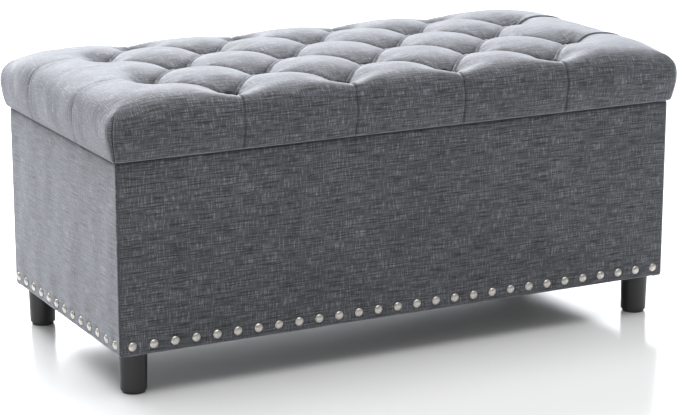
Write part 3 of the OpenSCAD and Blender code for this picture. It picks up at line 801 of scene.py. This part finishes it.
def sink_corners(data):
    """Lowers the crown at the corners: those of a stuffed cover are lower than its sides."""
    from_x = np.maximum(LID_X - 0.014 - np.abs(data[:, 0]), 0)
    from_y = np.maximum(LID_Y - 0.014 - np.abs(data[:, 1]), 0)
    high = smooth((data[:, 2] - 0.030) / 0.040)
    data[:, 2] -= CORNER_SINK * bell(np.hypot(from_x, from_y), 0.042) * high


def add_hem(data, faces, uv, ring):
    """Adds the hem: in under the lid, then up to the board."""
    cx, cy, nx, ny, _ = ring.T
    around = len(ring)
    last_loop = np.arange(around)
    for inset, lift, width in HEM_LOOPS:
        loop = np.zeros((around, data.shape[1]))
        loop[:, 0] = cx * ((LID_X - inset) / (LID_X - CORNER_R))
        loop[:, 1] = cy * ((LID_Y - inset) / (LID_Y - CORNER_R))
        loop[:, 2] = lift
        loop[:, 3:5] = data[:around, 3:5]
        loop[:, 7] = -1
        new_loop = len(data) + np.arange(around)
        data = np.vstack([data, loop])
        uv = np.vstack([uv, uv[:around] + np.stack([nx, ny], axis=1) * width])
        for i in range(around):
            j = (i + 1) % around
            faces.append((last_loop[i], new_loop[i], new_loop[j], last_loop[j]))
        last_loop = new_loop
    return data, faces, uv


def base_form():
    """The smooth cushion before tufting: its rows of data, faces and cloth coordinates."""
    ring, xs, ys = outline_ring()
    w, offset, height = skirt_section()
    around = len(ring)
    skirt = skirt_rows(ring, w, offset, height)
    flat, triangles = top_mesh(xs, ys)
    data = np.vstack([skirt, top_rows(flat)])
    sink_corners(data)
    k, j = np.meshgrid(np.arange(len(w) - 1), np.arange(around), indexing="ij")
    a = (k * around + j).ravel()
    b = (k * around + (j + 1) % around).ravel()
    faces = [tuple(f) for f in np.stack([a, b, b + around, a + around], axis=1)]
    faces += [tuple(i + len(skirt) for i in t) for t in triangles]
    uv = cloth_uv(data[:, 3:5].copy(), ring, w)
    return add_hem(data, faces, uv, ring)


def cloth_uv(uv, ring, w):
    """The cloth's own coordinates: those of the flat cloth, and unrolled round the corners."""
    cx, cy, nx, ny, side = ring.T
    at_corner = (np.abs(nx) > 1e-6) & (np.abs(ny) > 1e-6)
    long = side % 2 == 0
    half_x, half_y = LID_X - CORNER_R, LID_Y - CORNER_R
    bend = np.arctan2(np.abs(ny), np.abs(nx))
    bend_long = CORNER_R * (RIGHT_ANGLE - bend)
    bend_short = CORNER_R * bend
    for k in range(len(w)):
        part = slice(k * len(ring), (k + 1) * len(ring))
        down = w[-1] - w[k]
        u = np.where(long, cx + np.sign(cx) * bend_long, np.sign(cx) * (half_x + down))
        v = np.where(long, np.sign(cy) * (half_y + down), cy + np.sign(cy) * bend_short)
        uv[part, 0] = np.where(at_corner, u, uv[part, 0])
        uv[part, 1] = np.where(at_corner, v, uv[part, 1])
    return uv


def corner_tuck(place):
    """Depth of the folded corners of the cover: an upright crease at each corner, below the roundover."""
    x, y, z = place.T
    turn = np.arctan2(np.abs(y) - (LID_Y - CORNER_R), np.abs(x) - (LID_X - CORNER_R))
    at_corner = (np.abs(x) > LID_X - CORNER_R) & (np.abs(y) > LID_Y - CORNER_R)
    across = np.abs(np.where(at_corner, (turn - math.radians(45)) * CORNER_R, 1.0))
    low = 1 - smooth((z - 0.052) / 0.016)
    return low * (0.0030 * np.exp(-across / 0.0011) - 0.0008 * bell(across - 0.004, 0.003))


def fold_distance(x, y):
    """Distance over the flat cloth to the nearest fold, pleat or button."""
    nearest = np.full_like(x, 1.0)
    for start, way, length in crease_lines(0.3):
        along, across = along_across(x, y, start, way)
        past = np.maximum(np.maximum(-along, along - length), 0)
        nearest = np.minimum(nearest, np.hypot(across, past))
    for tx, ty in TUFTS:
        nearest = np.minimum(nearest, np.hypot(x - tx, y - ty) - 0.010)
    return nearest


def coarse_copy(place, faces):
    """A voxel copy of the cushion for the simulation."""
    copy = mesh_object("cushion_sim", place, faces, MATERIALS["linen"])
    finish_mesh(copy)
    remesh = copy.modifiers.new("remesh", "REMESH")
    remesh.mode = "VOXEL"
    remesh.voxel_size = SIM_VOXEL
    coarse_mesh = evaluated_mesh(copy)
    copy.modifiers.clear()
    copy.data = coarse_mesh
    return copy


def set_cloth(copy, held):
    """Gives the copy its Cloth, held at the given points and blown up a little."""
    group = copy.vertex_groups.new(name="held")
    group.add([int(i) for i in np.flatnonzero(held)], 1.0, "REPLACE")
    cloth = copy.modifiers.new("cloth", "CLOTH")
    cloth.settings.quality = 4
    cloth.settings.mass = 0.3
    cloth.settings.tension_stiffness = 12
    cloth.settings.compression_stiffness = 12
    cloth.settings.shear_stiffness = 5
    cloth.settings.bending_stiffness = 0.4
    cloth.settings.use_pressure = True
    cloth.settings.uniform_pressure_force = SIM_PRESSURE
    cloth.settings.vertex_group_mass = "held"
    cloth.settings.effector_weights.gravity = 0
    cloth.collision_settings.use_collision = False
    cloth.point_cache.frame_start = 1
    cloth.point_cache.frame_end = SIM_FRAMES


def fill_out(place, faces, flat):
    """Cloth simulation of the cover over its filling: a coarse copy of the cushion, held at its folds and
    buttons and along the bottom, is blown up a little, and the fine mesh follows it. Returns how far each
    point moves."""
    scene = bpy.context.scene
    copy = coarse_copy(place, faces)
    start = vertex_array(copy.data)
    tree = point_tree(place)
    spot = flat[np.array([tree.find(p)[1] for p in start])]
    held = fold_distance(spot[:, 0], spot[:, 1]) < SIM_HOLD
    held |= start[:, 2] < LID_Z + 0.006
    set_cloth(copy, held)
    for number in range(1, SIM_FRAMES + 1):
        scene.frame_set(number)
    move = vertex_array(evaluated_mesh(copy)) - start
    far = np.linalg.norm(move, axis=1)
    move *= (np.minimum(far, SIM_CAP) / np.maximum(far, 1e-9))[:, None]
    scene.frame_set(1)
    bpy.data.objects.remove(copy)
    tree = point_tree(start)
    result = np.zeros_like(place)
    for i, p in enumerate(place):
        found = tree.find_n(p, SIM_NEIGHBOURS)
        weight = np.array([1 / (d + 0.0005) for _, _, d in found])
        result[i] = weight @ move[[k for _, k, _ in found]] / weight.sum()
    return result


def pull_ways(out, up):
    """Directions in which the tufts pull: straight down on the top, and inward on the sides."""
    turn = smooth((up - 0.55) / 0.35)[:, None]
    pull = out * (1 - turn) + np.array([0.0, 0.0, 1.0]) * turn
    return pull / np.linalg.norm(pull, axis=1)[:, None]


def cushion():
    """The tufted cushion of the lid, from its hem to its crown, as one closed mesh."""
    data, faces, uv = base_form()
    base, flat, out, up = data[:, :3], data[:, 3:5], data[:, 5:8], data[:, 8]
    deep, lips, crease_shade = tuft_relief(flat[:, 0], flat[:, 1])
    creases = tuft_wrinkles(flat[:, 0], flat[:, 1])
    swell = 0.0006 * wavy(flat[:, 0], flat[:, 1], 0.10, 5) * smooth(up / 0.2)
    fade = smooth(up / 0.06)
    floor_z = np.where(up == 1, SEAT_Z + 0.0002, 0)
    place = base - pull_ways(out, up) * (deep * fade)[:, None]
    place[:, 2] += LID_Z
    place[:, 2] = np.maximum(place[:, 2], floor_z)
    place += fill_out(place, faces, flat)
    tuck = corner_tuck(base) * (base[:, 2] > 0.0005)
    place += out * ((lips + creases + swell) * fade - tuck)[:, None]
    place[:, 2] = np.maximum(place[:, 2], floor_z)
    obj = mesh_object("lid_cushion", place, faces, MATERIALS["linen"], uv)
    # painted shade in the folds, pleats and button wells, and in the tucked corner creases
    paint_crease_shade(obj, np.maximum(crease_shade * fade, smooth((tuck - 0.0006) / 0.0012)))
    finish_mesh(obj)
    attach(obj, "lid")
    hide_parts("lid_cover", "lid_foam")


BUTTON_RINGS = 9
BUTTON_AROUND = 36
BUTTON_CROWN = 0.0066
GOLDEN_TURN = 2.399           # turns each button's weave and pucker differently


def button_points(tx, ty, turn):
    """Points and cloth coordinates of one domed, puckered button."""
    verts, uv = [], []
    for k in range(BUTTON_RINGS + 1):
        t = k / BUTTON_RINGS
        r = BUTTON_R * math.sin(t * RIGHT_ANGLE) ** 0.8
        z = SEAT_Z + 0.0002 + BUTTON_CROWN * math.cos(t * RIGHT_ANGLE) ** 0.75
        for j in range(BUTTON_AROUND):
            a = FULL_TURN * j / BUTTON_AROUND
            pucker = 1 + 0.02 * t * t * math.cos(9 * a + turn)
            verts.append((tx + r * pucker * math.cos(a), ty + r * pucker * math.sin(a), z))
            uv.append((tx + r * math.cos(a + turn), ty + r * math.sin(a + turn)))
    return verts, uv


def tuft_button_pieces():
    """Fabric-covered buttons deep in the tufts."""
    verts, faces, uv = [], [], []
    around = BUTTON_AROUND
    for number, (tx, ty) in enumerate(TUFTS):
        first = len(verts)
        more_verts, more_uv = button_points(tx, ty, number * GOLDEN_TURN)
        verts += more_verts
        uv += more_uv
        for k in range(BUTTON_RINGS):
            for j in range(around):
                a = first + k * around + j
                b = first + k * around + (j + 1) % around
                faces.append((a, a + around, b + around, b))
        faces.append(tuple(first + BUTTON_RINGS * around + j for j in reversed(range(around))))
    obj = mesh_object("tuft_button_covers", verts, faces, MATERIALS["linen"], uv)
    finish_mesh(obj, 1e-6)
    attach(obj, "lid")
    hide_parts("tuft_buttons")


# ---- the box's covers --------------------------------------------------------------------------

NAIL_R = 0.0055               # radius of the CAD's nail heads
NAIL_PITCH = 0.0311
NAIL_AROUND = 28
NAIL_TIP = 0.035              # how unevenly the nails are driven, in radians
# Section of a nail's head: radius, and height over the cloth
NAIL_SECTION = (
    (0.0, 0.0026), (0.0013, 0.00255), (0.0027, 0.0023), (0.0039, 0.0019), (0.0049, 0.0013), (0.0056, 0.0007),
    (0.0059, 0.0003), (0.0062, 0.0001), (0.0062, -0.0004), (0.0056, -0.0006), (0.0009, -0.0006),
)
EDGE_R = 0.0050               # rounding of the box's vertical corners
RIM_R = 0.0040                # rounding of the cover over the rim and under the hem
COVER_END = 0.010             # length of the finely cut ends of a cover
COVER_STEP = 0.0018
FLANGE = 0.0035               # depth of the seam's allowance, turned in at a cover's ends
SEAM_DEPTH = 0.0009
SEAM_WIDTH = 0.0010
# width of the painted shade along the seam
SEAM_SHADE = 0.0016
UNEVEN = 0.0005               # height of the cover's faint waves
DENT = 0.0011                 # depth of the dent round a nail
DENT_R = 0.0075


# Sides of the box: name, half length, distance from the middle, and turn about Z from facing -Y
SIDES = (("front", BODY_X, BODY_Y, 0.0), ("back", BODY_X, BODY_Y, math.pi),
         ("right_end", BODY_Y, BODY_X, RIGHT_ANGLE), ("left_end", BODY_Y, BODY_X, -RIGHT_ANGLE))


def faces_front_or_back(turn):
    return abs(math.sin(turn)) < 0.5


def nail_places(node, turn):
    """Distances of the nails of a row from its middle, and the height of the row."""
    low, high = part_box(node)
    along = 0 if faces_front_or_back(turn) else 1
    reach = (high[along] - low[along]) / 2 - NAIL_R
    return np.linspace(-reach, reach, round(2 * reach / NAIL_PITCH) + 1), (low.z + high.z) / 2


def cover_section(face):
    """Outer section of a wall's cover, from the turn-down inside, over the rim, down the face and under the
    hem, as distance from the box's middle and height, and the length of cloth to each point."""
    inner = face - (BODY_Y - IN_Y) - FABRIC
    top, bottom = RIM_Z - RIM_R, HEM_Z + RIM_R
    quarter = np.linspace(0, RIGHT_ANGLE, 5)[1:]
    points = [(inner, TURN_Z)]
    points += [(inner, z) for z in np.linspace(TURN_Z, top, 10)[1:]]
    points += [(inner + RIM_R * (1 - math.cos(a)), RIM_Z - RIM_R * (1 - math.sin(a))) for a in quarter]
    for a in (0.0, *quarter):
        points.append((face - RIM_R + RIM_R * math.sin(a), RIM_Z - RIM_R * (1 - math.cos(a))))
    points += [(face, z) for z in np.linspace(top, bottom, 74)[1:]]
    points += [(face - RIM_R * (1 - math.cos(a)), HEM_Z + RIM_R * (1 - math.sin(a))) for a in quarter]
    points += [(inner + FABRIC, HEM_Z)]
    p = np.array(points)
    return p, np.concatenate([[0], np.cumsum(np.hypot(*np.diff(p, axis=0).T))])


def cover_stations(half, end):
    """Distances along a cover, close together at its ends, whose last station is doubled for the flange."""
    finer = end - COVER_END
    middle = np.linspace(-finer, finer, int(half / COVER_STEP))[1:-1]
    s = np.concatenate([np.linspace(-end, -finer, 9), middle, np.linspace(finer, end, 9)])
    return np.concatenate([[s[0]], s, [s[-1]]])


def cover_outside(section, nails_node, half, face, turn, seed):
    """Outer side of a cover, as grids: distance along, distance out, height, and how much painted shade lies
    along the seam.
    """
    end = half - EDGE_R * (1 - math.sqrt(0.5))
    s = cover_stations(half, end)
    flange = np.zeros((len(s), 1))
    flange[[0, -1]] = FLANGE
    S, K = np.meshgrid(s, np.arange(len(section)), indexing="ij")
    out, z = section[K, 0], section[K, 1]
    outer = smooth((out - (face - RIM_R)) / RIM_R)
    past = np.maximum(np.abs(S) - (half - EDGE_R), 0)
    out = out - outer * (EDGE_R - np.sqrt(np.maximum(EDGE_R**2 - past**2, 0)))
    out = out - outer * SEAM_DEPTH * bell(np.abs(S) - end, SEAM_WIDTH)
    out = out - flange * outer
    S = S - np.sign(S) * flange * outer
    out = out + outer * UNEVEN * wavy(S, z, 0.11, seed) * smooth((half - np.abs(S)) / 0.03)
    places, nail_z = nail_places(nails_node, turn)
    for at in places:
        out = out - outer * DENT * bell(np.hypot(S - at, z - nail_z), DENT_R)
    return S, out, z, outer * bell(np.abs(S) - end, SEAM_SHADE)


def cover_inside(section, out, z, face):
    """Distance out and height of the cloth's back, one thickness inside."""
    edge = np.gradient(section, axis=0)
    edge /= np.hypot(*edge.T)[:, None]
    level = np.abs(edge[:, 0]) > 0.5
    back_out = out - FABRIC * np.where(level, 0, np.sign(out - face + 0.008))
    return back_out, z - FABRIC * edge[:, 0] * level


def sheet_faces(rows, columns):
    """Faces of a closed sheet: a grid, its back, and the four edges between them."""
    quads = grid_faces(rows, columns)
    count = rows * columns
    faces = [tuple(f) for f in quads[:, ::-1]] + [tuple(f + count) for f in quads]
    for i in range(rows - 1):
        for k in (0, columns - 1):
            a, b = i * columns + k, (i + 1) * columns + k
            faces.append((a, b, b + count, a + count) if k == 0 else (b, a, a + count, b + count))
    for k in range(columns - 1):
        for i in (0, rows - 1):
            a, b = i * columns + k, i * columns + k + 1
            faces.append((b, a, a + count, b + count) if i == 0 else (a, b, b + count, a + count))
    return faces


def box_cover(name, node, nails_node, half, face, turn, seed):
    """One wall's cover as a closed sheet: dented round its nails, soft at its corners, with the seam tucked in.
    It is made facing -Y and turned about Z."""
    section, length = cover_section(face)
    S, out, z, seam = cover_outside(section, nails_node, half, face, turn, seed)
    back_out, back_z = cover_inside(section, out, z, face)
    outside = np.stack([S, -out, z], axis=-1).reshape(-1, 3)
    inside = np.stack([S, -back_out, back_z], axis=-1).reshape(-1, 3)
    verts = turned(np.vstack([outside, inside]), turn)
    uv = np.stack([S + seed * 1.7, np.broadcast_to(length, S.shape)], axis=-1).reshape(-1, 2)
    obj = mesh_object(name, verts, sheet_faces(*S.shape), MATERIALS["linen"], np.vstack([uv, uv]))
    # painted shade along the seam at each end of the cover
    paint_crease_shade(obj, np.concatenate([seam.ravel(), seam.ravel()]))
    finish_mesh(obj, 1e-7)
    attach(obj, "box")
    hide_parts(node, "body_wadding")


def nail_head(at, z, face, tip_x, tip_z):
    """Points of one nail's head, ring by ring from its crown, a little tipped."""
    points = []
    for radius, height in NAIL_SECTION:
        for j in range(NAIL_AROUND):
            a = FULL_TURN * j / NAIL_AROUND
            dx, dz = radius * math.cos(a), radius * math.sin(a)
            points.append((at + dx, -(face + height + 0.0002 + tip_x * dx + tip_z * dz), z + dz))
    return points


def nail_row(name, node, face, turn):
    """Domed upholstery nails with a small flat rim."""
    around = NAIL_AROUND
    last = len(NAIL_SECTION) - 1
    verts, faces = [], []
    local = np.random.default_rng(int(face * 1e4) + int(turn * 10))
    places, z = nail_places(node, turn)
    for at in places:
        first = len(verts)
        verts += nail_head(at, z, face, *local.normal(0, NAIL_TIP, 2))
        for k in range(last):
            for j in range(around):
                a = first + k * around + j
                b = first + k * around + (j + 1) % around
                faces.append((a, b, b + around, a + around))
        faces.append(tuple(first + last * around + j for j in range(around)))
    obj = mesh_object(name, turned(np.array(verts), turn), faces, MATERIALS["nail_nickel"])
    finish_mesh(obj, 1e-6)
    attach(obj, "box")
    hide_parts(node)


# ---- stage, light and camera -------------------------------------------------------------------

FLOOR_SIZE = 30.0


def stage():
    n = Nodes("floor", (0.7, 0.7, 0.7), 0.20)
    n.surface(n.grey_ramp(n.noise((3, 3, 3), 4.0), (0.3, 0.84), (0.7, 0.86)))
    n.shader.inputs["Specular IOR Level"].default_value = 0.35
    corners = [(-1, -1), (1, -1), (1, 1), (-1, 1)]
    floor = mesh_object("floor", [(x * FLOOR_SIZE, y * FLOOR_SIZE, 0) for x, y in corners], [(0, 1, 2, 3)],
                        n.material, smooth_shade=False)


def far_softbox(name, toward, spread, strength, colour=(1, 1, 1)):
    """A very large, distant softbox in a direction: even light over object and floor alike."""
    data = bpy.data.lights.new(name, "SUN")
    data.angle = math.radians(spread)
    data.energy = strength
    data.color = colour
    obj = bpy.data.objects.new(name, data)
    bpy.context.collection.objects.link(obj)
    obj.rotation_euler = Vector(toward).to_track_quat("Z", "Y").to_euler()


def light():
    world = bpy.data.worlds.new("studio")
    bpy.context.scene.world = world
    world.use_nodes = True
    background = world.node_tree.nodes["Background"]
    background.inputs["Color"].default_value = (0.98, 0.985, 1.0, 1)
    background.inputs["Strength"].default_value = 0.40
    far_softbox("key", (-0.06, 0.0, 1.0), 60, 2.6)
    far_softbox("back", (0.16, 0.88, 0.44), 50, 4.8, (0.95, 0.97, 1.0))
    bpy.context.scene.view_settings.view_transform = "Standard"


def camera():
    data = bpy.data.cameras.new("camera")
    obj = bpy.data.objects.new("camera", data)
    bpy.context.collection.objects.link(obj)
    data.sensor_width = 36.0
    data.lens = 122.9
    obj.location = (-1.5371, -2.9493, 1.0252)
    obj.rotation_euler = (math.radians(75.55), 0, math.radians(-27.50))
    data.clip_start, data.clip_end = 0.05, 100
    bpy.context.scene.camera = obj


dress_frame()
cushion()
tuft_button_pieces()
for seed, (side, half, face, turn) in enumerate(SIDES, 1):
    short = side.split("_")[0]
    box_cover(side + "_cover_cloth", side + "_cover", short + "_nailheads", half, face, turn, seed)
for side, half, face, turn in SIDES:
    short = side.split("_")[0]
    nail_row(short + "_nails", short + "_nailheads", face, turn)
stage()
light()
camera()
